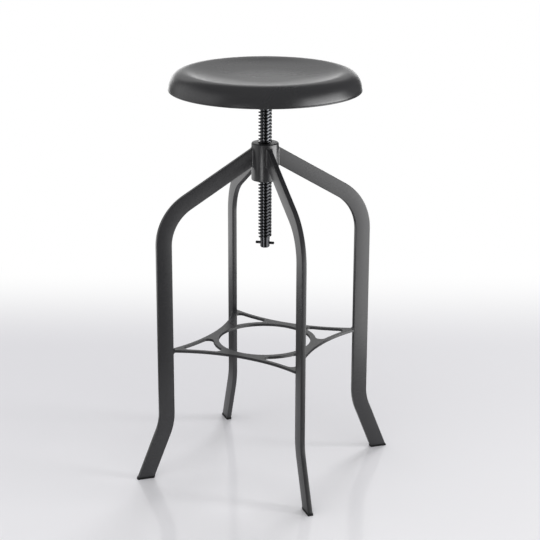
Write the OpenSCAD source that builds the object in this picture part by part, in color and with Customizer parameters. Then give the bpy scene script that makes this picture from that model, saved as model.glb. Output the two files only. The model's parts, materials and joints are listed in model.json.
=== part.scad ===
// Bar stool: a dished round seat on a screw spindle, four bent flat-bar legs and a pierced footrest.
// Lengths are in millimetres and angles in degrees. The floor is z = 0, +Z is up and the spindle's
// axis is x = y = 0. The legs stand on +X, +Y, -X and -Y.

/* [Seat] */
// Widest radius of the seat, at the rolled bead on its lower edge
seat_r = 171; // [150:1:200]
// How far the side of the seat leans in between its lower edge and its crest
seat_lean = 29; // [18:0.5:40]
// Height of the seat's side, from its lower edge to its crest
seat_side_h = 34.5; // [30:0.5:50]
// Fullness of the side's curve, where 2 is a quarter ellipse and more is squarer
seat_fullness = 2.2; // [2:0.1:3]
// Depth of the dish below the crest
dish_depth = 10; // [8:0.5:18]
// Radius of the dish's flat middle
dish_flat_r = 55; // [52:1:75]
// How quickly the dish turns over into the crest, where more is tighter
crest_tightness = 16; // [6:1:30]
// Thickness of the seat's sheet
seat_sheet = 2; // [1:0.25:2.25]
// Radius of the rolled bead along the seat's lower edge
seat_bead_r = 1.6; // [1.5:0.1:2.5]
// Gap between the collar's top and the seat's lower edge, as the stool stands
seat_gap = 94; // [30:0.5:180]

/* [Seat fixing] */
// Radius of the mounting plate under the seat
plate_r = 60; // [55:1:80]
// Thickness of the mounting plate
plate_t = 6; // [4:0.5:8]
// Radius of the circle on which the studs stand
stud_circle_r = 45; // [35:1:48]
// Radius of a stud
stud_r = 3; // [2.5:0.5:4]
// Length of a stud below the seat
stud_len = 16; // [14:0.5:22]
// Width of a nut across its flats
nut_w = 10; // [8:0.5:13]
// Height of a nut
nut_h = 5; // [3:0.5:6.5]
// Radius of a washer
washer_r = 6; // [6:0.25:9]
// Thickness of a washer
washer_t = 1.2; // [0.8:0.1:2]

/* [Spindle] */
// Length of the spindle
spindle_len = 310; // [260:1:340]
// Radius over the spindle's thread
thread_r = 12; // [11:0.5:14]
// Depth of the thread
thread_depth = 3.3; // [2.5:0.1:3.6]
// Rise of the thread in one turn
thread_pitch = 6; // [5.5:0.5:8]
// Width of the thread's ridge at its crest
ridge_crest_w = 2.2; // [1.5:0.1:2.4]
// Run of each of the ridge's flanks along the axis
ridge_flank_w = 0.8; // [0.4:0.1:0.9]
// Bearing at which the thread starts as the stool stands, counted from +X
thread_bearing = 12; // [-180:1:180]
// How much thinner the plain lower end is than the thread's root, on the radius
end_step = 0.2; // [0.2:0.1:1]
// Length of the plain lower end
end_len = 15; // [14:0.5:20]
// Chamfer around the bottom of the plain lower end
end_chamfer = 1.5; // [0.5:0.1:2.5]
// Radius of the spigot that goes through the mounting plate
spigot_r = 8.4; // [6:0.1:9]
// Leg length of the weld under the mounting plate
spindle_weld_leg = 5; // [3:0.5:6]
// Radius of the cross pin that stops the spindle at its highest
pin_r = 2.5; // [1.5:0.1:3]
// Length of the cross pin
pin_len = 34.5; // [29:0.5:42]
// Height of the cross pin above the spindle's lower end
pin_rise = 8; // [6:0.5:10]
// Bearing of the cross pin as the stool stands, counted from +X
pin_bearing = -32; // [-90:1:90]
// Radius of the rubber buffer ring
buffer_r = 22.5; // [18:0.5:26]
// Height of the rubber buffer ring
buffer_h = 10; // [6:0.5:14]

/* [Collar] */
// Height of the collar's top above the floor
frame_h = 617.5; // [560:0.5:680]
// Height of the collar
collar_h = 68; // [60:1:85]
// Radius of the collar
collar_r = 24.5; // [22:0.5:30]
// Rounding of the collar's rims
collar_rim_r = 2; // [0.5:0.25:2.5]
// Radius of the thread insert in the collar
insert_r = 16; // [15.5:0.25:18]
// Thickness of the lip that covers the thread insert
collar_lip_t = 3; // [2:0.5:6]

/* [Legs] */
// Width of the leg bar, seen from the side
bar_w = 28.5; // [22:0.5:36]
// Thickness of the leg bar
bar_t = 9; // [6:0.5:12]
// Chamfer along the leg bar's edges
bar_edge = 1; // [0.5:0.1:1.5]
// Distance of the upright's centreline from the spindle's axis
upright_r = 190; // [170:1:215]
// Slope of the arm down from the collar
arm_slope = 31; // [24:0.5:36]
// Depth of the arm's centreline below the collar's top, at the collar's wall
arm_drop = 25.2; // [22:0.1:36]
// Radius of the shoulder's bend
shoulder_r = 90; // [60:1:120]
// Height at which the centrelines of the upright and the foot would cross
knee_h = 106; // [80:1:130]
// Radius of the knee's bend
knee_r = 100; // [40:1:160]
// Lean of the foot away from the upright
splay = 22; // [12:0.5:28]
// Leg length of the weld beads on the collar
arm_weld_leg = 3; // [1.5:0.25:3]
// Thickness of the glide under a leg
glide_t = 4; // [3:0.5:8]
// How far a glide stands out around the bar's end
glide_edge = 0.6; // [0.2:0.1:2]

/* [Footrest] */
// Height of the footrest's top face above the floor
footrest_h = 246.5; // [200:0.5:300]
// Thickness of the footrest plate
footrest_t = 5; // [3:0.5:6]
// Radius of the footrest's middle hole
hole_r = 84.5; // [70:0.5:86]
// Width of the band around the middle hole
band_w = 10.5; // [7:0.5:11]
// Distance of the footrest's hollow outer edges from the spindle's axis
waist_r = 101.5; // [100:0.5:106]
// Width of the strips along the outer edges
strip_w = 7; // [5:0.5:9]
// Width of the footrest's tips, at the legs
tip_w = 10; // [8.5:0.5:14]
// Rounding of the windows' corners
window_corner_r = 10; // [3:0.5:10]
// Leg length of the welds between the footrest and the legs
footrest_weld_leg = 3; // [1.5:0.25:4]

/* [Clearances] */
// Gap between the threads of the spindle and the insert, across the axis
thread_gap = 0.5; // [0.4:0.05:0.8]
// Gap between the flanks of the two threads, along the axis
flank_gap = 0.35; // [0.3:0.05:0.5]
// Gap around the spindle at the collar's lip and the buffer ring
running_gap = 0.5; // [0.4:0.05:0.8]
// Gap around what is pressed, screwed or bolted tight
snug_gap = 0.05; // [0.02:0.01:0.1]
// Gap between the weld and the buffer ring, and at both ends of the spindle's travel
stop_gap = 0.5; // [0.3:0.1:1]

/* [Hidden] */

// Colours of the finishes
powder_coat = [0.2, 0.2, 0.21];
screw_black = [0.07, 0.07, 0.075];
zinc = [0.62, 0.62, 0.6];
rubber_black = [0.05, 0.05, 0.05];
bronze = [0.55, 0.43, 0.24];

// Compass of the legs, as turns about the spindle's axis
right = 0;
back = 90;
left = 180;
front = 270;

// Heights, from the collar up to the seat
collar_bottom = frame_h - collar_h;
seat_bottom = frame_h + seat_gap;
seat_crest = seat_bottom + seat_side_h;
dish_floor = seat_crest - dish_depth;
pan_underside = dish_floor - seat_sheet;
plate_bottom = pan_underside - plate_t;
buffer_top = plate_bottom - spindle_weld_leg - stop_gap;
buffer_bottom = buffer_top - buffer_h;

// The spindle hangs from the seat's underside
spindle_bottom = pan_underside - spindle_len;
thread_bottom = spindle_bottom + end_len;
thread_top = buffer_bottom;
core_r = thread_r - thread_depth;
end_r = core_r - end_step;
ridge_foot_w = ridge_crest_w + 2 * ridge_flank_w;
ridge_margin = 0.5;
ridge_start = thread_bottom + ridge_margin + ridge_foot_w / 2;
ridge_turns = floor((thread_top - ridge_margin - ridge_foot_w / 2 - ridge_start) / thread_pitch);
thread_steps = 18;

// The insert fills the collar below its lip
insert_top = frame_h - collar_lip_t;

// Path of a leg's centreline, as [distance from the spindle's axis, height]
shoulder_turn = 90 - arm_slope;
shoulder_reach = shoulder_r * tan(shoulder_turn / 2);
arm_end = [collar_r, frame_h - arm_drop];
shoulder_h = arm_end[1] - (upright_r - collar_r) * tan(arm_slope);
shoulder_centre = [upright_r - shoulder_r, shoulder_h - shoulder_reach];
shoulder_end_r = upright_r - shoulder_reach * cos(arm_slope);
knee_centre = [upright_r + knee_r, knee_h + knee_r * tan(splay / 2)];
upright_inner_r = upright_r - bar_w / 2;
bend_step = 6;

// The footrest's outer edge is four arcs that end at the tips, against the uprights' inner faces
footrest_bottom = footrest_h - footrest_t;
tip = [upright_inner_r, tip_w / 2];
tip_sum = sqrt(2) * (tip[0] + tip[1]);
edge_arc_r = (waist_r * waist_r - waist_r * tip_sum + tip * tip) / (tip_sum - 2 * waist_r);
edge_arc_centre = waist_r + edge_arc_r;

// Steps around a circle: as a rule, on the footrest's wide arcs and on small corners
$fn = 96;
wide_fn = 180;
corner_fn = 40;

// Extra length of what cuts right through
past = 1;

// Point on the seat's side at a fraction of the way from its lower edge to its crest
function side_point(u) =
    let (a = 90 * u, e = 2 / seat_fullness)
    [
        seat_r - seat_bead_r / 2 - seat_lean * (1 - pow(cos(a), e)),
        seat_bottom + seat_bead_r + (seat_side_h - seat_bead_r) * pow(sin(a), e)
    ];

// Point on the dish at a fraction of the way from the crest to its flat middle
function dish_point(u) =
    let (
        crest_r = seat_r - seat_bead_r / 2 - seat_lean,
        v = 1 - u,
        p = crest_tightness
    )
    [
        dish_flat_r + (crest_r - dish_flat_r) * v,
        dish_floor + dish_depth * v * v * (1 + 2 / p - 2 / p * pow(v, p))
    ];

// Unit vector that points into the sheet from one of an outline's points
function into_sheet(points, i) =
    let (
        before = points[max(i - 1, 0)],
        after = points[min(i + 1, len(points) - 1)],
        along = (after - before) / norm(after - before)
    )
    [-along[1], along[0]];

// A flat or slightly twisted polygon as triangles that share its first corner
function fan(corners) = [for (i = [1:len(corners) - 2]) [corners[0], corners[i], corners[i + 1]]];

// A rod along Z with a helical ridge, whose first turn starts on thread_bearing at height start_z
module threaded_rod(inner_r, outer_r, foot_w, crest_w, start_z, turns, bottom_z, top_z) {
    n = thread_steps;
    last = turns * n;
    section = [
        [inner_r, -foot_w / 2],
        [outer_r, -crest_w / 2],
        [outer_r, crest_w / 2],
        [inner_r, foot_w / 2]
    ];
    ridge = [
        for (k = [0:last], p = section)
            let (a = thread_bearing + 360 * k / n)
            [p[0] * cos(a), p[0] * sin(a), start_z + thread_pitch * k / n + p[1]]
    ];
    rings = [
        for (z = [bottom_z, top_z], k = [0:n - 1])
            let (a = thread_bearing + 360 * k / n)
            [inner_r * cos(a), inner_r * sin(a), z]
    ];
    // Numbers of the corners: four for each step along the ridge, then the rod's bottom and top rings
    function low(k) = 4 * (last + 1) + k % n;
    function high(k) = low(k) + n;
    function next(i) = i + 4;
    ends = concat(
        fan([for (k = [0:n - 1]) low(k)]),
        fan([for (k = [n - 1:-1:0]) high(k)]),
        fan([0, 3, 2, 1]),
        fan([for (j = [0:3]) 4 * last + j])
    );
    ridge_faces = [
        for (k = [0:last - 1], j = [0:2])
            let (i = 4 * k + j)
            each fan([i, i + 1, next(i) + 1, next(i)])
    ];
    root_faces = [
        for (k = [0:last - n - 1])
            let (i = 4 * k + 3, above = 4 * (k + n))
            each fan([i, above, next(above), next(i)])
    ];
    bottom_faces = [
        for (k = [0:n - 1])
            let (i = 4 * k)
            each fan(concat([low(k), i, next(i)], k == n - 1 ? [3, 0] : [], [low(k + 1)]))
    ];
    top_faces = [
        for (k = [last - n:last - 1])
            let (i = 4 * k + 3, ridge_end = k == last - n ? [4 * last, 4 * last + 3] : [])
            each fan(concat([next(i), i], ridge_end, [high(k), high(k + 1)]))
    ];
    polyhedron(concat(ridge, rings), concat(ends, ridge_faces, root_faces, bottom_faces, top_faces));
}

// Corners of the leg bar's outline across its length, moved out all round by grow
function bar_corners(grow = 0) =
    let (x = bar_w / 2 + grow, y = bar_t / 2 + grow, e = bar_edge)
    [
        [x, e - y], [x, y - e], [x - e, y], [e - x, y],
        [-x, y - e], [-x, e - y], [e - x, -y], [x - e, -y]
    ];

// Stations along a leg, as [distance from the axis, height, turn of the bar away from upright]
function knee_station(turn) = concat(knee_centre - knee_r * [cos(turn), sin(turn)], turn);
function shoulder_station(turn) = concat(shoulder_centre + shoulder_r * [cos(turn), sin(turn)], turn);

// A station moved along the bar, up towards the collar
function moved_up(station, length) =
    [station[0] - length * sin(station[2]), station[1] + length * cos(station[2]), station[2]];

// Turns through a bend at even steps of at most bend_step
function bend_turns(turn) =
    let (steps = ceil(turn / bend_step))
    [for (i = [0:steps]) turn * i / steps];

// The foot runs on below the floor and the arm into the collar, where both are cut off
foot_stations = [
    moved_up(knee_station(splay), -knee_centre[1] / cos(splay)),
    knee_station(splay)
];
arm_stations = [
    shoulder_station(shoulder_turn),
    moved_up(shoulder_station(shoulder_turn), (shoulder_end_r - collar_r / 2) / cos(arm_slope))
];
leg_stations = concat(
    [foot_stations[0]],
    [for (turn = bend_turns(splay)) knee_station(splay - turn)],
    [for (turn = bend_turns(shoulder_turn)) shoulder_station(turn)],
    [arm_stations[1]]
);

// The leg bar swept through stations in the plane y = 0
module swept_bar(stations, grow = 0) {
    corners = bar_corners(grow);
    n = len(corners);
    last = len(stations) - 1;
    points = [
        for (s = stations, c = corners)
            [s[0] + c[0] * cos(s[2]), c[1], s[1] + c[0] * sin(s[2])]
    ];
    sides = [
        for (k = [0:last - 1], j = [0:n - 1])
            let (i = k * n + j, m = k * n + (j + 1) % n)
            each fan([i, i + n, m + n, m])
    ];
    ends = concat(
        fan([for (j = [0:n - 1]) j]),
        fan([for (j = [n - 1:-1:0]) last * n + j])
    );
    polyhedron(points, concat(sides, ends));
}

// The space that the collar takes out of what is welded to it
module collar_space() {
    translate([0, 0, knee_h])
        cylinder(r = collar_r, h = 2 * frame_h);
}

// The space around a foot's end, between two heights
module floor_slab(from, to) {
    translate([upright_r - bar_w, -bar_t, from])
        cube([knee_h + 2 * bar_w, 2 * bar_t, to - from]);
}

module leg(bearing) {
    color(powder_coat)
        rotate(bearing)
        difference() {
            swept_bar(leg_stations);
            collar_space();
            floor_slab(-frame_h, glide_t);
        }
}

module glide(bearing) {
    color(rubber_black)
        rotate(bearing)
        intersection() {
            swept_bar(foot_stations, glide_edge);
            floor_slab(0, glide_t);
        }
}

// The weld bead around an arm's end, which narrows away from the collar
module collar_weld(bearing) {
    root_len = 4;
    color(powder_coat)
        rotate(bearing)
        difference() {
            translate([arm_end[0], 0, arm_end[1]])
                rotate([0, 90 + arm_slope, 0])
                hull() {
                    translate([0, 0, -root_len])
                        linear_extrude(root_len)
                        polygon(bar_corners(arm_weld_leg));
                    linear_extrude(arm_weld_leg)
                        polygon(bar_corners(arm_weld_leg / 6));
                }
            collar_space();
            swept_bar(arm_stations);
        }
}

module collar() {
    r = collar_rim_r;
    arc = [for (a = [0:15:90]) [collar_r - r + r * sin(a), r * cos(a)]];
    lip_bore_r = thread_r + running_gap;
    color(powder_coat)
        rotate_extrude()
        polygon(concat(
            [[lip_bore_r, frame_h]],
            [for (p = arc) [p[0], frame_h - r + p[1]]],
            [for (i = [len(arc) - 1:-1:0]) [arc[i][0], collar_bottom + r - arc[i][1]]],
            [
                [insert_r, collar_bottom],
                [insert_r, insert_top],
                [lip_bore_r, insert_top]
            ]
        ));
}

module thread_insert() {
    turns_below = floor((collar_bottom - ridge_start) / thread_pitch) - 1;
    start_z = ridge_start + turns_below * thread_pitch;
    turns = ceil((insert_top - collar_bottom) / thread_pitch) + 3;
    color(bronze)
        difference() {
            translate([0, 0, collar_bottom])
                cylinder(r = insert_r, h = insert_top - collar_bottom);
            threaded_rod(
                core_r + thread_gap, thread_r + thread_gap,
                ridge_foot_w + 2 * flank_gap, ridge_crest_w + 2 * flank_gap,
                start_z, turns, start_z - thread_pitch, start_z + (turns + 1) * thread_pitch
            );
        }
}

module spindle() {
    color(screw_black)
        difference() {
            union() {
                threaded_rod(
                    core_r, thread_r, ridge_foot_w, ridge_crest_w,
                    ridge_start, ridge_turns, thread_bottom, thread_top
                );
                translate([0, 0, thread_top])
                    cylinder(r = thread_r, h = plate_bottom - thread_top);
                translate([0, 0, plate_bottom])
                    cylinder(r = spigot_r, h = plate_t);
                translate([0, 0, spindle_bottom + end_chamfer])
                    cylinder(r = end_r, h = end_len - end_chamfer);
                translate([0, 0, spindle_bottom])
                    cylinder(r1 = end_r - end_chamfer, r2 = end_r, h = end_chamfer);
            }
            pin_place() cylinder(r = pin_r + snug_gap, h = 4 * end_r, center = true);
        }
}

// Puts a shape that lies along Z along the cross pin
module pin_place() {
    translate([0, 0, spindle_bottom + pin_rise])
        rotate(pin_bearing)
        rotate([0, 90, 0])
        children();
}

module stop_pin() {
    r = pin_r;
    dome = r / 2;
    half = pin_len / 2;
    arc = [for (a = [0:15:90]) [r * cos(a), half - dome + dome * sin(a)]];
    color(screw_black)
        pin_place()
        rotate_extrude()
        polygon(concat(arc, [for (i = [len(arc) - 1:-1:0]) [arc[i][0], -arc[i][1]]]));
}

module spindle_weld() {
    color(powder_coat)
        rotate_extrude()
        polygon([
            [thread_r, plate_bottom],
            [thread_r + spindle_weld_leg, plate_bottom],
            [thread_r, plate_bottom - spindle_weld_leg]
        ]);
}

module buffer_ring() {
    edge = 1;
    bore_r = thread_r + running_gap;
    color(rubber_black)
        rotate_extrude()
        polygon([
            [bore_r, buffer_bottom],
            [buffer_r - edge, buffer_bottom],
            [buffer_r, buffer_bottom + edge],
            [buffer_r, buffer_top - edge],
            [buffer_r - edge, buffer_top],
            [bore_r, buffer_top]
        ]);
}

// Puts a copy of a shape at each of the four studs
module at_studs() {
    for (a = [45:90:315])
        rotate(a)
        translate([stud_circle_r, 0, 0])
        children();
}

module mounting_plate() {
    color(powder_coat)
        difference() {
            translate([0, 0, plate_bottom])
                cylinder(r = plate_r, h = plate_t);
            translate([0, 0, plate_bottom - past])
                cylinder(r = spigot_r + snug_gap, h = plate_t + 2 * past);
            at_studs()
                translate([0, 0, plate_bottom - past])
                cylinder(r = stud_r + 6 * snug_gap, h = plate_t + 2 * past);
        }
}

module seat_studs() {
    color(zinc)
        at_studs()
        translate([0, 0, pan_underside - stud_len])
        cylinder(r = stud_r, h = stud_len);
}

module stud_washers() {
    color(zinc)
        at_studs()
        translate([0, 0, plate_bottom - washer_t])
        difference() {
            cylinder(r = washer_r, h = washer_t);
            translate([0, 0, -past])
                cylinder(r = stud_r + 4 * snug_gap, h = washer_t + 2 * past);
        }
}

module stud_nuts() {
    corner_r = nut_w / 2 / cos(30);
    color(zinc)
        at_studs()
        translate([0, 0, plate_bottom - washer_t - nut_h])
        difference() {
            cylinder(r = corner_r, h = nut_h, $fn = 6);
            translate([0, 0, -past])
                cylinder(r = stud_r + snug_gap, h = nut_h + 2 * past);
        }
}

module seat_pan() {
    side = [for (i = [0:12]) side_point(i / 12)];
    dish = [for (i = [1:16]) dish_point(i / 16)];
    top = concat(side, dish);
    under = [for (i = [len(top) - 1:-1:0]) top[i] + seat_sheet * into_sheet(top, i)];
    color(powder_coat)
        rotate_extrude() {
            polygon(concat(top, [[0, dish_floor], [0, pan_underside]], under));
            translate([seat_r - seat_bead_r, seat_bottom + seat_bead_r])
                circle(r = seat_bead_r, $fn = corner_fn);
        }
}

// Puts a copy of a shape at the centre of each of the footrest's four outer arcs
module at_edge_arcs() {
    for (a = [45:90:315])
        rotate(a)
        translate([edge_arc_centre, 0])
        children();
}

// One of the footrest's four windows, between the band and two strips
module window() {
    offset(r = window_corner_r, $fn = corner_fn)
        offset(delta = -window_corner_r)
        difference() {
            polygon([[0, 0], [upright_r, -upright_r], [upright_r, upright_r]]);
            at_edge_arcs() circle(r = edge_arc_r + strip_w, $fn = wide_fn);
            circle(r = hole_r + band_w);
        }
}

module footrest() {
    color(powder_coat)
        translate([0, 0, footrest_bottom])
        linear_extrude(footrest_t)
        difference() {
            square(2 * upright_inner_r, center = true);
            at_edge_arcs() circle(r = edge_arc_r, $fn = wide_fn);
            circle(r = hole_r);
            for (a = [0:90:270])
                rotate(a)
                window();
        }
}

// The two fillet welds above and below a footrest tip, against the upright's inner face
module footrest_weld(bearing) {
    leg_len = footrest_weld_leg;
    width = bar_t - 2 * bar_edge;
    color(powder_coat)
        rotate(bearing)
        translate([upright_inner_r, 0, 0])
        for (side = [-1, 1])
            translate([0, 0, side > 0 ? footrest_h : footrest_bottom])
            rotate([90, 0, 0])
            linear_extrude(width, center = true)
            polygon([[0, 0], [-leg_len, 0], [0, side * leg_len]]);
}

seat_pan();
seat_studs();
stud_washers();
stud_nuts();
mounting_plate();
spindle();
spindle_weld();
stop_pin();
buffer_ring();
collar();
thread_insert();
leg(right);  // leg_right
leg(back);  // leg_back
leg(left);  // leg_left
leg(front);  // leg_front
collar_weld(right);  // collar_weld_right
collar_weld(back);  // collar_weld_back
collar_weld(left);  // collar_weld_left
collar_weld(front);  // collar_weld_front
footrest();
footrest_weld(right);  // footrest_weld_right
footrest_weld(back);  // footrest_weld_back
footrest_weld(left);  // footrest_weld_left
footrest_weld(front);  // footrest_weld_front
glide(right);  // glide_right
glide(back);  // glide_back
glide(left);  // glide_left
glide(front);  // glide_front
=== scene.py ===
import json
import math

import bmesh
import bpy
from mathutils import Matrix, Vector


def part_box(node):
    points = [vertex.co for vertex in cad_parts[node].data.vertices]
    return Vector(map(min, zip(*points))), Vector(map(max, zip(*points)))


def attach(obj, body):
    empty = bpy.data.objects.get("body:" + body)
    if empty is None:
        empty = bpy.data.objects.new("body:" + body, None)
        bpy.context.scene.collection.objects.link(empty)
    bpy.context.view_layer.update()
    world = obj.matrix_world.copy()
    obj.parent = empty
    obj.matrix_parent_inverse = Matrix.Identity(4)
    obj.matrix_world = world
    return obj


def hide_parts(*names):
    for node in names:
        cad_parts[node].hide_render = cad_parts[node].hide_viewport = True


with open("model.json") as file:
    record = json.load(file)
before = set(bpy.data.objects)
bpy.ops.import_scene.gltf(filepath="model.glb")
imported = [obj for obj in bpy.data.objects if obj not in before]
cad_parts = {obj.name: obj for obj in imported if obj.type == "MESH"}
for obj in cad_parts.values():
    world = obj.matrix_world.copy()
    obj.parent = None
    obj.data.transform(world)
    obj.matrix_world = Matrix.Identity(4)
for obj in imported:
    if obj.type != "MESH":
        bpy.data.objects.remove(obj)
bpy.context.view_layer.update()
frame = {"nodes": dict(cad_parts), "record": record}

# Lengths are in metres. +Z is up, the floor is z = 0 and the spindle turns about x = y = 0.
nodes = frame["nodes"]
legSides = {"right": 0, "back": 90, "left": 180, "front": 270}   # degrees round the spindle
print("frame loaded:", len(nodes), "nodes")


def addObject(name, data):
    added = bpy.data.objects.new(name, data)
    bpy.context.scene.collection.objects.link(added)
    return added


# Camera, at the photograph's place

cameraView = {
    "turn": -19.231,           # degrees round the stool, 0 looks along +Y
    "rise": 18.228,            # degrees above the horizon
    "roll": 0.124,
    "distance": 2.9582,
    "aimHeight": 0.33317,
    "lens": 107.70,
    "shiftX": 0.0097,
    "shiftY": 0.04479,
    "clipEnd": 50,
}


# A direction as seen from the camera's side: turn is positive to the right, in degrees
def directionAt(turn, rise):
    turn, rise = math.radians(cameraView["turn"] + turn), math.radians(rise)
    level = math.cos(rise)
    return Vector((math.sin(turn) * level, -math.cos(turn) * level, math.sin(rise)))


def makeCamera(view):
    back = directionAt(0, view["rise"])
    turn, roll = math.radians(view["turn"]), math.radians(view["roll"])
    side = Vector((math.cos(turn), math.sin(turn), 0))
    up = back.cross(side)
    right = side * math.cos(roll) + up * math.sin(roll)
    up = up * math.cos(roll) - side * math.sin(roll)
    data = bpy.data.cameras.new("camera")
    data.lens = view["lens"]
    data.shift_x = view["shiftX"]
    data.shift_y = view["shiftY"]
    data.clip_end = view["clipEnd"]
    camera = addObject("camera", data)
    camera.matrix_world = Matrix((right, up, back)).transposed().to_4x4()
    camera.location = Vector((0, 0, view["aimHeight"])) + back * view["distance"]
    bpy.context.scene.camera = camera


makeCamera(cameraView)
bpy.context.scene.view_settings.view_transform = "Standard"
print("camera placed")


# Small helpers for node trees

def addNode(tree, kind, values=None, **settings):
    node = tree.nodes.new(kind)
    for key, value in settings.items():
        setattr(node, key, value)
    for key, value in (values or {}).items():
        if isinstance(value, bpy.types.NodeSocket):
            tree.links.new(value, node.inputs[key])
        else:
            node.inputs[key].default_value = value
    return node


def calc(tree, operation, *terms):
    return addNode(tree, "ShaderNodeMath", dict(enumerate(terms)), operation=operation).outputs[0]


def apart(tree, vector):
    node = addNode(tree, "ShaderNodeSeparateXYZ", {0: vector})
    return node.outputs["X"], node.outputs["Y"], node.outputs["Z"]


def together(tree, x=0.0, y=0.0, z=0.0):
    return addNode(tree, "ShaderNodeCombineXYZ", {"X": x, "Y": y, "Z": z}).outputs[0]


# Fine grain that the coated, moulded and machined surfaces share

grainSizes = {                 # each finish sets its own
    "Grain Scale": 900.0,
    "Cloud Scale": 9.0,
    "Tone Spread": 0.08,
    "Roughness": 0.45,
    "Roughness Spread": 0.06,
}
grainMix = {
    "Grain": {"Detail": 2.0, "Roughness": 0.6},
    "Cloud": {"Detail": 3.0, "Roughness": 0.55},
    "grainShare": 0.35,        # grain that is added to the cloud
    "mean": 0.5,               # of one noise texture
}


def makeGrainGroup(mix):
    group = bpy.data.node_groups.new("fineGrain", "ShaderNodeTree")
    face = group.interface
    face.new_socket("Place", in_out="INPUT", socket_type="NodeSocketVector")
    for name, value in grainSizes.items():
        face.new_socket(name, in_out="INPUT", socket_type="NodeSocketFloat").default_value = value
    for name in ("Tone", "Roughness", "Height"):
        face.new_socket(name, in_out="OUTPUT", socket_type="NodeSocketFloat")
    given = addNode(group, "NodeGroupInput").outputs
    grain, cloud = (
        addNode(group, "ShaderNodeTexNoise", {
            "Vector": given["Place"], "Scale": given[kind + " Scale"], **mix[kind]}).outputs["Fac"]
        for kind in ("Grain", "Cloud"))
    # The cloud and some of the grain, moved so that their mean is about zero
    blend = calc(group, "MULTIPLY_ADD", grain, mix["grainShare"], cloud)
    centred = calc(group, "SUBTRACT", blend, mix["mean"] * (1 + mix["grainShare"]))
    roughness = calc(group, "MULTIPLY_ADD", centred, given["Roughness Spread"], given["Roughness"])
    addNode(group, "NodeGroupOutput", {
        "Tone": calc(group, "MULTIPLY_ADD", centred, given["Tone Spread"], 1.0),
        "Roughness": roughness,
        "Height": grain})
    return group


fineGrain = makeGrainGroup(grainMix)


def makeMaterial(name, finish):
    material = bpy.data.materials.new(name)
    material.use_nodes = True
    tree = material.node_tree
    shader = tree.nodes["Principled BSDF"]
    place = addNode(tree, "ShaderNodeTexCoord").outputs["Object"]
    grain = addNode(tree, "ShaderNodeGroup", node_tree=fineGrain)
    tree.links.new(place, grain.inputs["Place"])
    for key in grainSizes:
        grain.inputs[key].default_value = finish[key]
    colour = addNode(tree, "ShaderNodeVectorMath", {
        0: finish["colour"], "Scale": grain.outputs["Tone"]}, operation="SCALE")
    bump = addNode(tree, "ShaderNodeBump", {
        "Strength": 1.0, "Distance": finish["depth"], "Height": grain.outputs["Height"]})
    tree.links.new(colour.outputs[0], shader.inputs["Base Color"])
    tree.links.new(grain.outputs["Roughness"], shader.inputs["Roughness"])
    tree.links.new(bump.outputs["Normal"], shader.inputs["Normal"])
    shader.inputs["Metallic"].default_value = finish.get("metallic", 0.0)
    shader.inputs["Specular IOR Level"].default_value = finish.get("specular", 0.5)
    return material


powderCoat = makeMaterial("powderCoat", {
    "colour": (0.033, 0.033, 0.0355), "Roughness": 0.28, "Roughness Spread": 0.08,
    "Grain Scale": 1100.0, "Cloud Scale": 7.0, "Tone Spread": 0.10, "depth": 0.00002,
    "specular": 1.0,
})
blackSteel = makeMaterial("blackSteel", {
    "colour": (0.078, 0.08, 0.085), "Roughness": 0.11, "Roughness Spread": 0.12,
    "Grain Scale": 700.0, "Cloud Scale": 60.0, "Tone Spread": 0.3, "depth": 0.00001,
    "metallic": 1.0,
})
zincSteel = makeMaterial("zincSteel", {
    "colour": (0.52, 0.52, 0.50), "Roughness": 0.32, "Roughness Spread": 0.2,
    "Grain Scale": 900.0, "Cloud Scale": 120.0, "Tone Spread": 0.2, "depth": 0.00001,
    "metallic": 1.0,
})
bronze = makeMaterial("bronze", {
    "colour": (0.46, 0.31, 0.13), "Roughness": 0.35, "Roughness Spread": 0.2,
    "Grain Scale": 800.0, "Cloud Scale": 90.0, "Tone Spread": 0.25, "depth": 0.00001,
    "metallic": 1.0,
})
bufferRubber = makeMaterial("bufferRubber", {
    "colour": (0.018, 0.018, 0.018), "Roughness": 0.8, "Roughness Spread": 0.1,
    "Grain Scale": 1600.0, "Cloud Scale": 40.0, "Tone Spread": 0.2, "depth": 0.00004,
    "specular": 0.3,
})
glidePlastic = makeMaterial("glidePlastic", {
    "colour": (0.014, 0.014, 0.015), "Roughness": 0.6, "Roughness Spread": 0.1,
    "Grain Scale": 1500.0, "Cloud Scale": 50.0, "Tone Spread": 0.2, "depth": 0.00003,
    "specular": 0.4,
})
slotMaterial = {
    "powder_coat": powderCoat, "black_steel": blackSteel, "zinc_steel": zincSteel,
    "bronze": bronze, "rubber": bufferRubber, "glide": glidePlastic,
}
print("materials made:", len(slotMaterial))


# What the shape trees share: named sizes, merged corners, smooth faces with crisp creases

mergeDistance = 0.000002


def newShapeTree(name, sizes):
    tree = bpy.data.node_groups.new(name, "GeometryNodeTree")
    tree.is_modifier = True
    face = tree.interface
    face.new_socket("Geometry", in_out="INPUT", socket_type="NodeSocketGeometry")
    for label, value in sizes.items():
        kind = "NodeSocketInt" if isinstance(value, int) else "NodeSocketFloat"
        face.new_socket(label, in_out="INPUT", socket_type=kind).default_value = value
    face.new_socket("Material", in_out="INPUT", socket_type="NodeSocketMaterial")
    face.new_socket("Geometry", in_out="OUTPUT", socket_type="NodeSocketGeometry")
    return tree, addNode(tree, "NodeGroupInput").outputs


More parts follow.
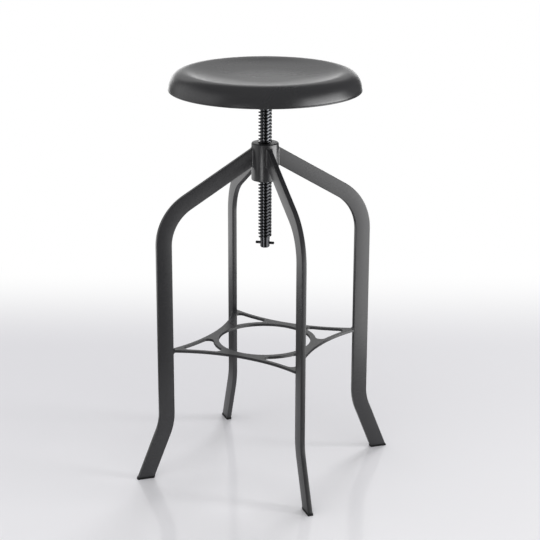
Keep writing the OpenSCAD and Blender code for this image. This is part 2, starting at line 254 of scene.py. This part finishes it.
def smoothed(tree, geometry, crease):
    merge = addNode(tree, "GeometryNodeMergeByDistance", {
        "Geometry": geometry, "Distance": mergeDistance})
    faces = addNode(tree, "GeometryNodeSetShadeSmooth", {
        "Geometry": merge.outputs["Geometry"], "Shade Smooth": True}, domain="FACE")
    edgeAngle = addNode(tree, "GeometryNodeInputMeshEdgeAngle")
    sharp = calc(tree, "GREATER_THAN", edgeAngle.outputs["Unsigned Angle"], crease)
    return addNode(tree, "GeometryNodeSetShadeSmooth", {
        "Geometry": faces.outputs["Geometry"], "Selection": sharp, "Shade Smooth": False},
        domain="EDGE").outputs["Geometry"]


def endShape(tree, geometry, material):
    whole = addNode(tree, "GeometryNodeRealizeInstances", {"Geometry": geometry})
    painted = addNode(tree, "GeometryNodeSetMaterial", {
        "Geometry": whole.outputs["Geometry"], "Material": material})
    addNode(tree, "NodeGroupOutput", {"Geometry": painted.outputs["Geometry"]})


def placeField(tree):
    return addNode(tree, "GeometryNodeInputPosition").outputs["Position"]


def pointCount(tree, geometry):
    size = addNode(tree, "GeometryNodeAttributeDomainSize", {"Geometry": geometry}, component="MESH")
    return size.outputs["Point Count"]


# A grid to bend into shape, with each point's fraction along X and along Y
def fractionGrid(tree, countX, countY):
    grid = addNode(tree, "GeometryNodeMeshGrid", {
        "Size X": 1.0, "Size Y": 1.0, "Vertices X": countX, "Vertices Y": countY})
    x, y, _ = apart(tree, placeField(tree))
    return grid.outputs["Mesh"], calc(tree, "ADD", x, 0.5), calc(tree, "ADD", y, 0.5)


# The whole step that a fraction of so many steps stands for
def stepNumber(tree, fraction, steps):
    return calc(tree, "ROUND", calc(tree, "MULTIPLY", fraction, steps))


def moved(tree, geometry, position, **extra):
    values = {"Geometry": geometry, "Position": position, **extra}
    return addNode(tree, "GeometryNodeSetPosition", values).outputs["Geometry"]


def sampled(tree, geometry, value, number):
    node = addNode(tree, "GeometryNodeSampleIndex", data_type="FLOAT_VECTOR", domain="POINT")
    for key, source in (("Geometry", geometry), ("Value", value), ("Index", number)):
        tree.links.new(source, node.inputs[key])
    return node.outputs["Value"]


# The place at a radius and an angle round the spindle's axis
def aroundAxis(tree, radius, angle, height):
    x, y = (calc(tree, "MULTIPLY", radius, calc(tree, wave, angle)) for wave in ("COSINE", "SINE"))
    return together(tree, x, y, height)


# How far out a cylinder's wall stands, at a distance to the side of its middle
def wallAt(tree, radius, aside):
    squares = [calc(tree, "MULTIPLY", term, term) for term in (radius, aside)]
    return calc(tree, "SQRT", calc(tree, "SUBTRACT", *squares))


# Turns a finished arm shape to its own leg, smooths it and ends the tree
def endArmShape(tree, geometry, given, crease):
    turned = addNode(tree, "GeometryNodeTransform", {
        "Geometry": geometry, "Rotation": together(tree, 0.0, 0.0, given["Turn"])})
    endShape(tree, smoothed(tree, turned.outputs["Geometry"], crease), given["Material"])


# Runs a shape tree on a seed mesh and gives back the result as a plain mesh
def runTree(name, tree, seed, sizes):
    piece = addObject(name, seed)
    modifier = piece.modifiers.new(tree.name, "NODES")
    modifier.node_group = tree
    for item in tree.interface.items_tree:
        if item.in_out == "INPUT" and item.name in sizes:
            modifier[item.identifier] = sizes[item.name]
    evaluated = piece.evaluated_get(bpy.context.evaluated_depsgraph_get())
    mesh = bpy.data.meshes.new_from_object(evaluated)
    bpy.data.objects.remove(piece)
    return mesh


def growPiece(name, tree, seed, sizes, slot, body, *replaced):
    mesh = runTree(name, tree, seed, dict(sizes, Material=slotMaterial[slot]))
    piece = addObject(name, mesh)
    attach(piece, body)
    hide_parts(*replaced)


def pointMesh(name, points, edges=()):
    mesh = bpy.data.meshes.new(name)
    mesh.from_pydata(points, edges, [])
    return mesh


# Turned pieces: a profile in the XZ plane, swung round the spindle's axis

def makeTurnedTree():
    tree, given = newShapeTree("turnedPiece", {"Columns": 96, "Crease": 0.7})
    count = pointCount(tree, given["Geometry"])
    grid, along, around = fractionGrid(tree, count, calc(tree, "ADD", given["Columns"], 1))
    number = stepNumber(tree, along, calc(tree, "SUBTRACT", count, 1))
    radius, _, height = apart(tree, sampled(tree, given["Geometry"], placeField(tree), number))
    swung = aroundAxis(tree, radius, calc(tree, "MULTIPLY", around, math.tau), height)
    endShape(tree, smoothed(tree, moved(tree, grid, swung), given["Crease"]), given["Material"])
    return tree


turnedPiece = makeTurnedTree()


# Seat pan: flat-bottomed dish, rounded crest, bulging side and a rolled bead on its lower edge

seat = {
    "lean": 0.029,             # how far the side comes in between the bead and the crest
    "fullness": 2.2,           # 2 is a quarter ellipse, more is squarer
    "dishDepth": 0.010,
    "flatRadius": 0.055,       # the dish's flat middle
    "crestTightness": 16,
    "sheet": 0.002,
    "bead": 0.0016,
    "beadStart": 60,           # degrees above level, where the side runs into the bead
    "beadSweep": 281,          # degrees that the bead rolls in from there
    "outerStop": 0.87,         # bead radii above its centre, where the side's outer face stops
    "innerStop": 0.7,          # and where its inner face stops
    "sideSteps": 40,
    "dishSteps": 44,
    "beadSteps": 16,
    "columns": 240,
    "crease": 0.7,             # radians
}


def seatProfile(s):
    low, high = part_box("seat_pan")
    radius, bottom, top = high[0], low[2], high[2]
    sheet, bead, flat = s["sheet"], s["bead"], s["flatRadius"]
    wallRadius = radius - bead / 2
    crestRadius = wallRadius - s["lean"]
    beadCentre = Vector((radius - bead, bottom + bead))
    dishFloor = top - s["dishDepth"]

    def dishPoint(v):
        p = s["crestTightness"]
        rise = s["dishDepth"] * v * v * (1 + 2 / p - 2 / p * v ** p)
        return Vector((flat + (crestRadius - flat) * v, dishFloor + rise))

    def sidePoint(u):
        a, e = math.radians(90 * u), 2 / s["fullness"]
        inward = s["lean"] * (1 - math.cos(a) ** e)
        rise = (top - bottom - bead) * math.sin(a) ** e
        return Vector((wallRadius - inward, bottom + bead + rise))

    # The dish from its flat middle to the crest, then the side down to just above the bead
    outer = [dishPoint(k / s["dishSteps"]) for k in range(s["dishSteps"] + 1)]
    outer += [sidePoint(1 - (k / s["sideSteps"])) for k in range(1, s["sideSteps"])]
    outer = [point for point in outer if point.y > beadCentre.y + bead * s["outerStop"]]
    inner = []
    for before, point, after in zip(outer, outer[1:], outer[2:]):
        along = (after - before).normalized()
        inner.append(point - Vector((-along.y, along.x)) * sheet)
    inner = [point for point in reversed(inner) if point.y > beadCentre.y + bead * s["innerStop"]]
    roll = []
    for k in range(s["beadSteps"] + 1):
        a = math.radians(s["beadStart"] - s["beadSweep"] * k / s["beadSteps"])
        roll.append(beadCentre + bead * Vector((math.cos(a), math.sin(a))))
    start, end = Vector((0, dishFloor)), Vector((0, dishFloor - sheet))
    return [(point.x, 0, point.y) for point in [start, *outer, *roll, *inner, end]]


growPiece("seatShell", turnedPiece, pointMesh("seatProfile", seatProfile(seat)),
          {"Columns": seat["columns"], "Crease": seat["crease"]}, "powder_coat", "seat", "seat_pan")
print("seat made")


# Spindle: a turned core and shank, with the thread's ridge wound round it

core = {
    "endRadius": 0.0085,
    "endChamfer": 0.0015,
    "endTop": 0.439,
    "coreRadius": 0.0087,
    "shankRadius": 0.012,
    "shankBottom": 0.7125,
    "spigotRadius": 0.0084,
    "spigotBottom": 0.728,
    "columns": 64,
    "crease": 0.6,             # radians
}
thread = {
    "Start": 0.4414,           # height of the ridge's middle where it starts
    "Bearing": math.radians(12.0),
    "Turns": 44.0,
    "Pitch": 0.006,
    "Root Radius": 0.0086,     # a little inside the core
    "Depth": 0.0034,
    "Crest Width": 0.0026,
    "Foot Width": 0.0038,
    "Softness": 0.35,          # of the corners between the flanks and the crest
    "Run Out": 0.5,            # turns over which the ridge rises at its ends
    "Steps Per Turn": 48,
    "Across": 14,              # points round the ridge's section
    "Crease": 0.9,             # radians
}


def makeRidgeTree():
    tree, given = newShapeTree("threadRidge", thread)
    steps = calc(tree, "MULTIPLY_ADD", given["Turns"], given["Steps Per Turn"], 1)
    grid, along, across = fractionGrid(tree, steps, given["Across"])
    last = calc(tree, "SUBTRACT", given["Across"], 1)
    number = stepNumber(tree, across, last)
    # The last point across falls on the first, which closes the section
    share = calc(tree, "DIVIDE", calc(tree, "MODULO", number, last), calc(tree, "SUBTRACT", last, 1))
    offset = calc(tree, "MULTIPLY_ADD", share, 2, -1)
    turn = calc(tree, "MULTIPLY", along, given["Turns"])
    fromEnd = calc(tree, "MINIMUM", turn, calc(tree, "SUBTRACT", given["Turns"], turn))
    swell = calc(tree, "MINIMUM", calc(tree, "DIVIDE", fromEnd, given["Run Out"]), 1)
    flank = calc(tree, "SUBTRACT", 1, calc(tree, "DIVIDE", given["Crest Width"], given["Foot Width"]))
    slope = calc(tree, "DIVIDE", calc(tree, "SUBTRACT", 1, calc(tree, "ABSOLUTE", offset)), flank)
    height = calc(tree, "MULTIPLY", calc(tree, "SMOOTH_MIN", slope, 1, given["Softness"]), swell)
    height = calc(tree, "MAXIMUM", height, 0)
    radius = calc(tree, "MULTIPLY_ADD", height, given["Depth"], given["Root Radius"])
    angle = calc(tree, "MULTIPLY_ADD", turn, math.tau, given["Bearing"])
    halfFoot = calc(tree, "MULTIPLY", given["Foot Width"], 0.5)
    level = calc(tree, "MULTIPLY_ADD", turn, given["Pitch"], given["Start"])
    level = calc(tree, "MULTIPLY_ADD", calc(tree, "MULTIPLY", offset, swell), halfFoot, level)
    ridge = moved(tree, grid, aroundAxis(tree, radius, angle, level))
    both = addNode(tree, "GeometryNodeJoinGeometry")
    tree.links.new(smoothed(tree, ridge, given["Crease"]), both.inputs["Geometry"])
    tree.links.new(given["Geometry"], both.inputs["Geometry"])
    endShape(tree, both.outputs["Geometry"], given["Material"])
    return tree


def coreProfile(s):
    low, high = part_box("spindle")
    bottom, top = low[2], high[2]
    return [(r, 0, z) for r, z in (
        (0, top), (s["spigotRadius"], top), (s["spigotRadius"], s["spigotBottom"]),
        (s["shankRadius"], s["spigotBottom"]), (s["shankRadius"], s["shankBottom"]),
        (s["coreRadius"], s["shankBottom"]), (s["coreRadius"], s["endTop"]),
        (s["endRadius"], s["endTop"]), (s["endRadius"], bottom + s["endChamfer"]),
        (s["endRadius"] - s["endChamfer"], bottom), (0, bottom))]


spindleCore = runTree("spindleCore", turnedPiece, pointMesh("coreProfile", coreProfile(core)),
                      {"Columns": core["columns"], "Crease": core["crease"]})
growPiece("threadedSpindle", makeRidgeTree(), spindleCore, thread, "black_steel", "seat", "spindle")
print("spindle made")


# Legs: one flat bar each, bent at the shoulder and at the knee, with rolled edges

leg = {
    "armHeight": 0.5923,       # centreline at the collar's wall
    "armSlope": 31.0,          # degrees below level
    "uprightRadius": 0.190,
    "kneeHeight": 0.106,       # where the centrelines of the upright and the foot cross
    "splay": 22.0,             # degrees from upright
    "collarRadius": 0.0245,
    "sunk": 0.002,             # how far the arm's end lies inside the collar's wall
    "pastFloor": 0.01,         # the path runs on below the floor, and the foot is cut level
    "bar": {
        "Width": 0.0285, "Thickness": 0.009, "Edge": 0.0013, "Shoulder Radius": 0.090,
        "Knee Radius": 0.100, "Bend Steps": 22, "Edge Steps": 5,
        "End Zone": 0.05,      # points nearer the axis, or lower, belong to the bar's ends
        "Crease": 0.7,         # radians
    },
}


def barSizes(s, turn):
    return {
        **s["bar"], "End Radius": s["collarRadius"] - s["sunk"],
        "Arm Slope": math.radians(s["armSlope"]), "Foot Height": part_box("leg_right")[0][2],
        "Splay": math.radians(s["splay"]), "Turn": math.radians(turn)}


def makeBarTree():
    tree, given = newShapeTree("bentBar", barSizes(leg, 0))
    path = addNode(tree, "GeometryNodeMeshToCurve", {"Mesh": given["Geometry"]}).outputs["Curve"]
    # The path's point 1 is the shoulder and its point 2 the knee
    atKnee = calc(tree, "GREATER_THAN", addNode(tree, "GeometryNodeInputIndex").outputs["Index"], 1.5)
    more = calc(tree, "SUBTRACT", given["Knee Radius"], given["Shoulder Radius"])
    radius = calc(tree, "MULTIPLY_ADD", atKnee, more, given["Shoulder Radius"])
    bent = addNode(tree, "GeometryNodeFilletCurve", {
        "Curve": path, "Count": given["Bend Steps"], "Radius": radius}, mode="POLY")
    outline = addNode(tree, "GeometryNodeCurvePrimitiveQuadrilateral", {
        "Width": given["Thickness"], "Height": given["Width"]})
    rolled = addNode(tree, "GeometryNodeFilletCurve", {
        "Curve": outline.outputs["Curve"], "Count": given["Edge Steps"], "Radius": given["Edge"]},
        mode="POLY")
    bar = addNode(tree, "GeometryNodeCurveToMesh", {
        "Curve": bent.outputs["Curve"], "Profile Curve": rolled.outputs["Curve"],
        "Fill Caps": True}).outputs["Mesh"]

    x, y, z = apart(tree, placeField(tree))
    # The arm's end is slid along the arm onto a cylinder inside the collar's wall
    slide = calc(tree, "SUBTRACT", wallAt(tree, given["End Radius"], y), x)
    downhill = calc(tree, "TANGENT", calc(tree, "MULTIPLY", given["Arm Slope"], -1))
    bar = moved(tree, bar, placeField(tree), Selection=calc(tree, "LESS_THAN", x, given["End Zone"]),
                Offset=together(tree, slide, 0.0, calc(tree, "MULTIPLY", slide, downhill)))
    # The foot's end is slid along the foot onto the level of the glide's top
    drop = calc(tree, "SUBTRACT", given["Foot Height"], z)
    outwards = calc(tree, "TANGENT", calc(tree, "MULTIPLY", given["Splay"], -1))
    bar = moved(tree, bar, placeField(tree), Selection=calc(tree, "LESS_THAN", z, given["End Zone"]),
                Offset=together(tree, calc(tree, "MULTIPLY", drop, outwards), 0.0, drop))
    endArmShape(tree, bar, given, given["Crease"])
    return tree


def legPath(s):
    slope, splay = math.radians(s["armSlope"]), math.radians(s["splay"])
    reach = s["uprightRadius"] - s["collarRadius"]
    footReach = (s["kneeHeight"] + s["pastFloor"]) * math.tan(splay)
    return [
        (s["collarRadius"], 0, s["armHeight"]),
        (s["uprightRadius"], 0, s["armHeight"] - reach * math.tan(slope)),
        (s["uprightRadius"], 0, s["kneeHeight"]),
        (s["uprightRadius"] + footReach, 0, -s["pastFloor"])]


bentBar = makeBarTree()
for side, turn in legSides.items():
    path = pointMesh("legPath", legPath(leg), [(0, 1), (1, 2), (2, 3)])
    growPiece("bentLeg" + side.capitalize(), bentBar, path, barSizes(leg, turn),
              "powder_coat", "frame", "leg_" + side)
print("legs made:", len(legSides))


# Collar welds: ground to a concave fillet that runs all round the arm

fillet = {
    "size": 0.0035,            # how far it reaches along the collar and along the arm
    "sunk": 0.0004,            # how deep its hidden sides lie in the collar and the arm
    "arcSteps": 9,
    "corner": 0.001,           # corner radius of the outline that it follows
    "cornerSteps": 6,
    "sideSteps": 8,
    "crease": 1.0,             # radians
}


# Outline of the bar with its outward directions, as (place, direction) pairs
def barOutline(width, thickness, s):
    pairs = []
    corner = s["corner"]
    signs = [(1, 1), (-1, 1), (-1, -1), (1, -1)]
    centres = [Vector((sx * (width / 2 - corner), sy * (thickness / 2 - corner), 0)) for sx, sy in signs]
    for quarter, centre in enumerate(centres):
        for k in range(s["cornerSteps"] + 1):
            a = math.radians(90 * (quarter + k / s["cornerSteps"]))
            outward = Vector((math.cos(a), math.sin(a), 0))
            pairs.append((centre + outward * corner, outward))
        for k in range(1, s["sideSteps"]):
            between = centre.lerp(centres[(quarter + 1) % 4], k / s["sideSteps"])
            pairs.append((between + outward * corner, outward))
    return pairs


def filletSizes(s, turn):
    return {
        "Size": s["size"], "Sunk": s["sunk"], "Arc Steps": s["arcSteps"], "Crease": s["crease"],
        "Collar Radius": leg["collarRadius"], "Arm Height": leg["armHeight"],
        "Arm Slope": math.radians(leg["armSlope"]), "Turn": math.radians(turn)}


def makeFilletTree():
    tree, given = newShapeTree("rootFillet", filletSizes(fillet, 0))
    count = pointCount(tree, given["Geometry"])
    rows = calc(tree, "ADD", given["Arc Steps"], 3)
    grid, across, around = fractionGrid(tree, rows, calc(tree, "ADD", count, 1))
    number = calc(tree, "MODULO", stepNumber(tree, around, count), count)
    lastRow = calc(tree, "SUBTRACT", rows, 1)
    row = calc(tree, "MODULO", stepNumber(tree, across, lastRow), lastRow)
    quarter = calc(tree, "MULTIPLY", calc(tree, "DIVIDE", row, given["Arc Steps"]), math.pi / 2)
    # Rows on the arc show. The one after them is the hidden corner inside the metal.
    shown = calc(tree, "LESS_THAN", row, calc(tree, "ADD", given["Arc Steps"], 0.5))
    whole = calc(tree, "MULTIPLY", shown, calc(tree, "ADD", given["Size"], given["Sunk"]))

    def reachBy(wave):
        reach = calc(tree, "MULTIPLY", whole, calc(tree, "SUBTRACT", 1, calc(tree, wave, quarter)))
        return calc(tree, "SUBTRACT", reach, given["Sunk"])

    grown, ahead = reachBy("SINE"), reachBy("COSINE")
    outwardField = addNode(tree, "GeometryNodeInputNamedAttribute", {"Name": "outward"},
                           data_type="FLOAT_VECTOR").outputs[0]
    placeX, placeY, _ = apart(tree, sampled(tree, given["Geometry"], placeField(tree), number))
    outX, outY, _ = apart(tree, sampled(tree, given["Geometry"], outwardField, number))
    rise = calc(tree, "MULTIPLY_ADD", outX, grown, placeX)
    aside = calc(tree, "MULTIPLY_ADD", outY, grown, placeY)
    wall = wallAt(tree, given["Collar Radius"], aside)
    cosine, sine, tangent = (
        calc(tree, wave, given["Arm Slope"]) for wave in ("COSINE", "SINE", "TANGENT"))
    level = calc(tree, "ADD", given["Arm Height"], calc(tree, "DIVIDE", rise, cosine))
    fall = calc(tree, "MULTIPLY", calc(tree, "SUBTRACT", wall, given["Collar Radius"]), tangent)
    fall = calc(tree, "MULTIPLY_ADD", ahead, sine, fall)
    ring = moved(tree, grid, together(tree, calc(tree, "MULTIPLY_ADD", ahead, cosine, wall), aside,
                                      calc(tree, "SUBTRACT", level, fall)))
    endArmShape(tree, ring, given, given["Crease"])
    return tree


def filletSeed():
    pairs = barOutline(leg["bar"]["Width"], leg["bar"]["Thickness"], fillet)
    mesh = pointMesh("barOutline", [place for place, _ in pairs])
    outward = mesh.attributes.new("outward", "FLOAT_VECTOR", "POINT")
    for item, (_, direction) in zip(outward.data, pairs):
        item.vector = direction
    return mesh


rootFillet = makeFilletTree()
for side, turn in legSides.items():
    growPiece("rootFillet" + side.capitalize(), rootFillet, filletSeed(), filletSizes(fillet, turn),
              "powder_coat", "frame", "collar_weld_" + side)
print("collar fillets made:", len(legSides))


# CAD pieces that stay: corners merged, curves smooth, and the edges that show rounded a little

shell = {
    "crease": 30.0,            # degrees
    "rounding": {"footrest": 0.0005, "glide_right": 0.0004, "glide_back": 0.0004,
                 "glide_left": 0.0004, "glide_front": 0.0004, "stop_pin": 0.0003},
    "roundingCrease": 40.0,    # degrees
    "roundingSteps": 2,
}


def makeShellTree():
    tree, given = newShapeTree("smoothShell", {"Crease": math.radians(shell["crease"])})
    bare = addNode(tree, "GeometryNodeRemoveAttribute", {
        "Geometry": given["Geometry"], "Name": "custom_normal"})
    smooth = smoothed(tree, bare.outputs["Geometry"], given["Crease"])
    addNode(tree, "NodeGroupOutput", {"Geometry": smooth})
    return tree


def roundEdges(piece, width):
    bevel = piece.modifiers.new("rounded edges", "BEVEL")
    bevel.width = width
    bevel.segments = shell["roundingSteps"]
    bevel.limit_method = "ANGLE"
    bevel.angle_limit = math.radians(shell["roundingCrease"])
    bevel.harden_normals = True


smoothShell = makeShellTree()
slotOfNode = {part["node"]: part["material_slot"] for part in frame["record"]["subparts"]}
for name, piece in nodes.items():
    piece.data.materials.clear()
    piece.data.materials.append(slotMaterial[slotOfNode[name]])
    modifier = piece.modifiers.new("smooth shell", "NODES")
    modifier.node_group = smoothShell
    if name in shell["rounding"]:
        roundEdges(piece, shell["rounding"][name])
print("CAD pieces dressed")


# Studio: a pale floor that fades to white, soft lamps, and surroundings that are bright at the back

studio = {
    "halfWidth": 12,
    "roughness": 0.12,
    "specular": 0.35,
    # Painted light: the floor's colour goes from backColour, its own colour, to a lighter colour towards
    # the front and the right. The lighter colour stands in for lamp light falling there.
    "backColour": (0.86, 0.855, 0.89),
    "paintedLitFrontColour": (0.96, 0.955, 0.98),
    "frontStart": -0.5,        # metres in front of the stool
    "frontEnd": 0.6,
    # Painted light: this share of the lightening goes to the right side of the floor instead of the
    # front
    "paintedLightRightShare": 0.35,        # how much of the change from back to front colour goes to the right
    "fadeStart": 0.60,         # metres behind the stool where the floor starts to pale
    "fadeEnd": 1.20,
    "farStart": 2.0,           # metres from the stool, all round, where it pales too
    "farEnd": 3.5,
    # What reflections see of the floor: a level, and windows round the stool that add to it, with
    # turns and half widths in degrees and the metres between which they come up. A window with a
    # "to" goes down again between those metres.
    "reflectedFrom": (0.3, 0.6),
    "reflectedNear": 0.4,
    "level": 0.09,
    "windows": {
        "behind": {"turn": -177, "wide": (12, 26), "from": (2.5, 4.5), "gain": 2.6},
        "behindLeft": {
            "turn": -135, "wide": (25, 45), "from": (0.9, 1.6), "to": (2.6, 3.4), "gain": 0.85},
        "left": {"turn": -95, "wide": (25, 45), "from": (0.8, 1.5), "gain": 0.4},
        "leftStrip": {
            "turn": -28, "wide": (4, 10), "from": (1.0, 1.6), "to": (3.0, 3.4), "gain": 3.8},
        "right": {"turn": 73, "wide": (25, 41), "from": (0.4, 0.9), "gain": 1.8},
        "rightFar": {
            "turn": 84, "wide": (16, 34), "from": (1.9, 2.6), "to": (3.2, 7.0), "gain": 5.0},
    },
}


def risen(tree, value, start, end):
    return addNode(tree, "ShaderNodeMapRange", {"Value": value, "From Min": start, "From Max": end},
                   interpolation_type="SMOOTHSTEP").outputs["Result"]


def dotted(tree, vector, direction):
    node = addNode(tree, "ShaderNodeVectorMath", {0: vector, 1: direction}, operation="DOT_PRODUCT")
    return node.outputs["Value"]


# 1 inside a half width round a turn, 0 outside a wider one, for a level direction
def turnWindow(tree, level, turn, wide):
    inner, outer = (math.cos(math.radians(angle)) for angle in wide)
    return risen(tree, dotted(tree, level, directionAt(turn, 0)), outer, inner)


def levelled(tree, vector):
    x, y, _ = apart(tree, vector)
    node = addNode(tree, "ShaderNodeVectorMath", {0: together(tree, x, y)}, operation="NORMALIZE")
    return node.outputs[0]


# A mix node has sockets of the same name for numbers, vectors and colours
def colourSocket(sockets, name):
    return next(socket for socket in sockets if socket.name == name and socket.type == "RGBA")


# Painted light: mixes the floor's own colour into a lighter one towards the front and the right, in
# place of lamp light
def floorColourWithPaintedLight(tree, s, inFront, aside):
    paintedLightRamps = [risen(tree, distance, s["frontStart"], s["frontEnd"]) for distance in (inFront, aside)]
    front = calc(tree, "MULTIPLY", paintedLightRamps[0], 1 - s["paintedLightRightShare"])
    front = calc(tree, "MULTIPLY_ADD", paintedLightRamps[1], s["paintedLightRightShare"], front)
    mix = addNode(tree, "ShaderNodeMix", {"Factor": front}, data_type="RGBA")
    for key, name in (("A", "backColour"), ("B", "paintedLitFrontColour")):
        colourSocket(mix.inputs, key).default_value = (*s[name], 1)
    return colourSocket(mix.outputs, "Result")


# How bright reflections see the floor
def reflectedStrength(tree, s, place, away):
    strength = s["level"]
    level = levelled(tree, place)
    for window in s["windows"].values():
        glow = calc(tree, "MULTIPLY", turnWindow(tree, level, window["turn"], window["wide"]),
                    risen(tree, away, *window["from"]))
        if "to" in window:
            ending = calc(tree, "SUBTRACT", 1, risen(tree, away, *window["to"]))
            glow = calc(tree, "MULTIPLY", glow, ending)
        strength = calc(tree, "MULTIPLY_ADD", glow, window["gain"], strength)
    return strength


def dressFloor(material, s):
    tree = material.node_tree
    shader = tree.nodes["Principled BSDF"]
    shader.inputs["Roughness"].default_value = s["roughness"]
    shader.inputs["Specular IOR Level"].default_value = s["specular"]
    place = addNode(tree, "ShaderNodeTexCoord").outputs["Object"]
    inFront, aside = (dotted(tree, place, directionAt(turn, 0)) for turn in (0, 90))
    away = addNode(tree, "ShaderNodeVectorMath", {0: place}, operation="LENGTH").outputs["Value"]
    tree.links.new(floorColourWithPaintedLight(tree, s, inFront, aside), shader.inputs["Base Color"])

    behind = calc(tree, "MULTIPLY", inFront, -1)
    pale = calc(tree, "MAXIMUM", risen(tree, behind, s["fadeStart"], s["fadeEnd"]),
                risen(tree, away, s["farStart"], s["farEnd"]))
    white = addNode(tree, "ShaderNodeEmission", {"Strength": 1.0}).outputs[0]
    paled = addNode(tree, "ShaderNodeMixShader", {"Fac": pale, 1: shader.outputs["BSDF"], 2: white})

    strength = reflectedStrength(tree, s, place, away)
    reflected = addNode(tree, "ShaderNodeEmission", {"Strength": strength}).outputs[0]
    share = calc(tree, "MAXIMUM", risen(tree, away, *s["reflectedFrom"]), s["reflectedNear"])
    glossyRay = addNode(tree, "ShaderNodeLightPath").outputs["Is Glossy Ray"]
    share = calc(tree, "MULTIPLY", share, glossyRay)
    ended = addNode(tree, "ShaderNodeMixShader", {"Fac": share, 1: paled.outputs[0], 2: reflected})
    tree.links.new(ended.outputs[0], tree.nodes["Material Output"].inputs["Surface"])


def makeFloor(s):
    bm = bmesh.new()
    bmesh.ops.create_grid(bm, x_segments=2, y_segments=2, size=s["halfWidth"])
    mesh = bpy.data.meshes.new("studioFloor")
    bm.to_mesh(mesh)
    bm.free()
    floor = addObject("studioFloor", mesh)
    material = bpy.data.materials.new("studioFloor")
    material.use_nodes = True
    dressFloor(material, s)
    mesh.materials.append(material)


# What reflections see round the stool: a base, and soft windows that add to it, in degrees. A window
# is full inside the inner half width and height, and nothing outside the outer ones.
surroundings = {
    "ambient": 0.54,            # what lights matt surfaces
    "base": 0.1,
    "windows": {
        "backdrop": {"turn": -174, "rise": 5, "wide": (16, 32), "high": (22, 36), "strength": 0.36},
        "upper": {"turn": -176, "rise": 29, "wide": (20, 40), "high": (3, 9), "strength": 0.3},
        "horizon": {"turn": -175, "rise": -5, "wide": (12, 26), "high": (6, 15), "strength": 2.0},
        "left": {"turn": -95, "rise": 0, "wide": (25, 50), "high": (15, 50), "strength": 0.5},
        "right": {"turn": 75, "rise": -8, "wide": (20, 36), "high": (6, 40), "strength": 2.6},
    },
}


def makeWorld(s):
    world = bpy.data.worlds.new("studio")
    bpy.context.scene.world = world
    world.use_nodes = True
    tree = world.node_tree
    sky = addNode(tree, "ShaderNodeTexCoord").outputs["Generated"]
    level = levelled(tree, sky)
    rise = calc(tree, "ARCSINE", apart(tree, sky)[2])
    total = s["base"]
    for window in s["windows"].values():
        off = calc(tree, "ABSOLUTE", calc(tree, "SUBTRACT", rise, math.radians(window["rise"])))
        inner, outer = (math.radians(angle) for angle in window["high"])
        glow = calc(tree, "MULTIPLY", turnWindow(tree, level, window["turn"], window["wide"]),
                    risen(tree, calc(tree, "MULTIPLY", off, -1), -outer, -inner))
        total = calc(tree, "MULTIPLY_ADD", glow, window["strength"], total)
    rays = addNode(tree, "ShaderNodeLightPath").outputs
    total = calc(tree, "MULTIPLY", calc(tree, "SUBTRACT", total, s["ambient"]), rays["Is Glossy Ray"])
    total = calc(tree, "ADD", total, s["ambient"])
    light = addNode(tree, "ShaderNodeBackground", {"Strength": total})
    white = addNode(tree, "ShaderNodeBackground", {"Strength": 1.0})
    for node in (light, white):
        node.inputs["Color"].default_value = (1, 1, 1, 1)
    mix = addNode(tree, "ShaderNodeMixShader", {
        "Fac": rays["Is Camera Ray"], 1: light.outputs[0], 2: white.outputs[0]})
    tree.links.new(mix.outputs[0], tree.nodes["World Output"].inputs["Surface"])


lampPlace = {"distance": 10.0, "aimHeight": 0.3}
softLights = {
    "behind": {"turn": 163, "rise": 50, "size": 3.4, "power": 245},
    "right": {"turn": 82, "rise": 30, "size": 2.4, "power": 140},
    "frontFill": {"turn": -10, "rise": 65, "size": 9.0, "power": 160},
}


def makeLight(name, light):
    towards = directionAt(light["turn"], light["rise"])
    data = bpy.data.lights.new(name, "AREA")
    data.shape = "DISK"
    data.size = light["size"]
    data.energy = light["power"]
    lamp = addObject(name, data)
    lamp.location = Vector((0, 0, lampPlace["aimHeight"])) + towards * lampPlace["distance"]
    lamp.rotation_euler = towards.to_track_quat("Z", "Y").to_euler()
    lamp.visible_glossy = False


makeFloor(studio)
makeWorld(surroundings)
for name, light in softLights.items():
    makeLight(name, light)
print("studio made")
